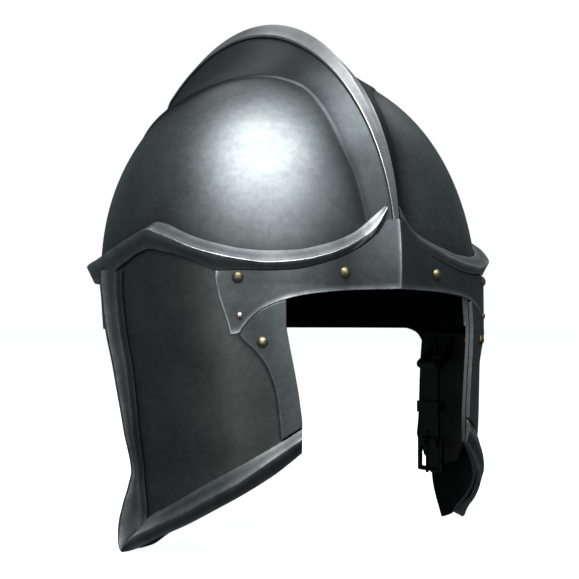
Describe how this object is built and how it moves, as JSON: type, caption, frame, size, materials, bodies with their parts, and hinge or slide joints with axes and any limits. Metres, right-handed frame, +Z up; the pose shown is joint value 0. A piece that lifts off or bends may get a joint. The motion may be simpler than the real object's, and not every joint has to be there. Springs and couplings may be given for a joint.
{
  "type": "knight helmet",
  "caption": "Open-faced steel war helmet with a tall swept comb, keeled brow plate, long side plates with turned-out borders, quilted lining and a buckled chin strap.",
  "frame": {"origin": "middle of the wearer's head, on the middle plane, level with the lower edge of the neck band at the nape", "axes": "+Z up, -Y the way the face looks, -X the wearer's right"},
  "size_m": [0.248, 0.2605, 0.3068],
  "materials": {
    "blackened_steel": "blackened, satin",
    "dark_plate": "blackened, satin, worn edges",
    "panel_steel": "dark, brushed",
    "bright_edge": "polished edge, worn",
    "aged_brass": "aged",
    "small_rivet": "worn bright",
    "iron": "dark, oiled",
    "dark_leather": "waxed, near black",
    "quilted_linen": "quilted, matt"
  },
  "bodies": {
    "helmet": {"skull_right": "blackened_steel", "skull_left": "blackened_steel", "comb_strip": "bright_edge", "brow_plate": "dark_plate", "neck_band": "blackened_steel", "rim_moulding_right": "dark_plate", "rim_moulding_left": "dark_plate", "side_plate_right": "panel_steel", "side_plate_left": "panel_steel", "cheek_border_right": "dark_plate", "cheek_border_left": "dark_plate", "lower_border_right": "bright_edge", "lower_border_left": "bright_edge", "rear_border_right": "dark_plate", "rear_border_left": "dark_plate", "brow_rivets": "aged_brass", "cheek_rivets": "aged_brass", "strut_rivets": "small_rivet", "rivet_washers": "iron", "liner_band": "dark_leather", "liner_rivets": "iron", "liner_pad_1": "quilted_linen", "liner_pad_2": "quilted_linen", "liner_pad_3": "quilted_linen", "liner_pad_4": "quilted_linen", "liner_pad_5": "quilted_linen", "liner_pad_6": "quilted_linen", "crown_pad": "quilted_linen", "ear_lining_right": "dark_leather", "ear_lining_left": "dark_leather", "strap_hanger_right": "iron", "strap_hanger_left": "iron", "hanger_rivets": "iron"},
    "right_strap": {"strap_right": "dark_leather"},
    "left_strap": {"strap_left": "dark_leather", "strap_keeper": "dark_leather"},
    "buckle": {"buckle_frame": "iron"},
    "prong": {"buckle_prong": "iron"}
  },
  "joints": [
    {"name": "right_strap_swing", "type": "hinge", "parent": "helmet", "child": "right_strap", "pos_m": [-0.0905, -0.0225, -0.022], "axis": [0, -1, 0], "range_deg": [0, 70]},
    {"name": "left_strap_swing", "type": "hinge", "parent": "helmet", "child": "left_strap", "pos_m": [0.0905, -0.0225, -0.022], "axis": [0, 1, 0], "range_deg": [0, 70]},
    {"name": "buckle_swing", "type": "hinge", "parent": "left_strap", "child": "buckle", "pos_m": [0.0905, -0.0225, -0.07], "axis": [0, 1, 0], "range_deg": [0, 90]},
    {"name": "prong_swing", "type": "hinge", "parent": "buckle", "child": "prong", "pos_m": [0.0905, -0.0225, -0.07], "axis": [0, 1, 0], "range_deg": [0, 45]}
  ]
}
